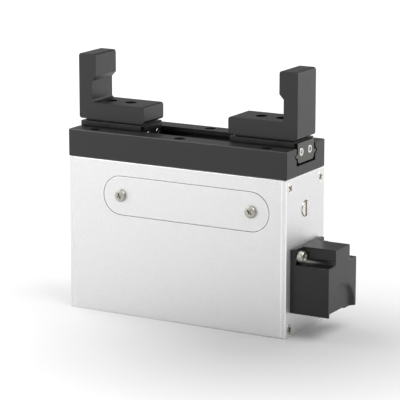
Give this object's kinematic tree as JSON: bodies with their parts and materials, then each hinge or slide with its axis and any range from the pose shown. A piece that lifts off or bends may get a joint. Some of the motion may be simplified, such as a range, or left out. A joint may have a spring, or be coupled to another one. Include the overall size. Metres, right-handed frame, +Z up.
{
  "type": "parallel gripper",
  "caption": "Wide two-jaw parallel gripper with L-shaped fingers on a channel rail, driven by a left- and right-hand leadscrew in a slim aluminium body, with a side connector hood.",
  "frame": {"origin": "centre of the four mounting holes on the bottom face", "axes": "+X along the jaw travel towards the connector hood, +Y from front to back, +Z up towards the fingers"},
  "size_m": [0.146, 0.0426, 0.1309],
  "materials": {
    "silver_anodised": "fine bead-blasted, clear anodised, satin",
    "rail_black": "black anodised, satin",
    "slider_black": "black anodised, satin",
    "finger_black": "black anodised, satin",
    "nickel_screw": "nickel plated, warm and slightly dull",
    "white_screw": "bright zinc plated",
    "black_screw": "black oxide",
    "bright_steel": "ground steel",
    "pulley_aluminium": "turned",
    "end_plate_grey": "grey, matte",
    "motor_black": "black, satin",
    "encoder_plastic": "moulded",
    "belt_rubber": "matte",
    "board_green": "solder mask",
    "component_black": "moulded",
    "brass": "machined",
    "connector_shell": "nickel plated",
    "hood_plastic": "fine moulded texture, slightly glossy"
  },
  "bodies": {
    "body": {"housing": "silver_anodised", "left_end_plate": "silver_anodised", "right_end_plate": "silver_anodised", "left_end_screws": "nickel_screw", "right_end_screws": "nickel_screw", "access_cover": "silver_anodised", "access_cover_screws": "nickel_screw", "guide_rail": "rail_black", "rail_screws": "black_screw", "bearing_plate": "bright_steel", "bearing_block": "bright_steel", "frame_screws": "nickel_screw", "screw_bearings": "bright_steel", "bearing_retainers": "bright_steel", "retainer_screws": "bright_steel", "motor_body": "motor_black", "motor_encoder": "encoder_plastic", "motor_screws": "bright_steel", "timing_belt": "belt_rubber", "controller_board": "board_green", "board_components": "component_black", "board_standoffs": "brass", "board_screws": "bright_steel", "connector_receptacle": "connector_shell", "connector_hood": "hood_plastic", "connector_plug": "component_black", "jackscrews": "nickel_screw", "jackscrew_nuts": "bright_steel"},
    "right_jaw": {"right_slider": "slider_black", "right_slider_end_plates": "end_plate_grey", "right_slider_screws": "white_screw", "right_slider_balls": "bright_steel", "right_finger": "finger_black", "right_finger_screws": "black_screw", "right_finger_dowels": "bright_steel", "right_nut": "brass", "right_nut_bracket": "bright_steel", "right_nut_screws": "bright_steel", "right_bracket_screw": "bright_steel"},
    "left_jaw": {"left_slider": "slider_black", "left_slider_end_plates": "end_plate_grey", "left_slider_screws": "white_screw", "left_slider_balls": "bright_steel", "left_finger": "finger_black", "left_finger_screws": "black_screw", "left_finger_dowels": "bright_steel", "left_nut": "brass", "left_nut_bracket": "bright_steel", "left_nut_screws": "bright_steel", "left_bracket_screw": "bright_steel"},
    "screw_shaft": {"leadscrew": "bright_steel", "driven_pulley": "pulley_aluminium", "override_screw": "nickel_screw"},
    "motor_shaft": {"motor_rotor": "bright_steel", "motor_pulley": "pulley_aluminium"}
  },
  "joints": [
    {"name": "right_jaw_slide", "type": "slide", "parent": "body", "child": "right_jaw", "axis": [-1, 0, 0], "range_m": [0, 0.024]},
    {"name": "left_jaw_slide", "type": "slide", "parent": "body", "child": "left_jaw", "axis": [1, 0, 0], "range_m": [0, 0.024]},
    {"name": "leadscrew_turn", "type": "hinge", "parent": "body", "child": "screw_shaft", "pos_m": [0, 0, 0.062], "axis": [1, 0, 0], "range_deg": [0, 1081]},
    {"name": "motor_turn", "type": "hinge", "parent": "body", "child": "motor_shaft", "pos_m": [0, 0, 0.03], "axis": [1, 0, 0], "range_deg": [0, 1081]}
  ],
  "couplings": [
    {"joint": "left_jaw_slide", "follows": "right_jaw_slide", "ratio": 1},
    {"joint": "leadscrew_turn", "follows": "right_jaw_slide", "rad_per_m": 785.4},
    {"joint": "motor_turn", "follows": "right_jaw_slide", "rad_per_m": 785.4}
  ]
}
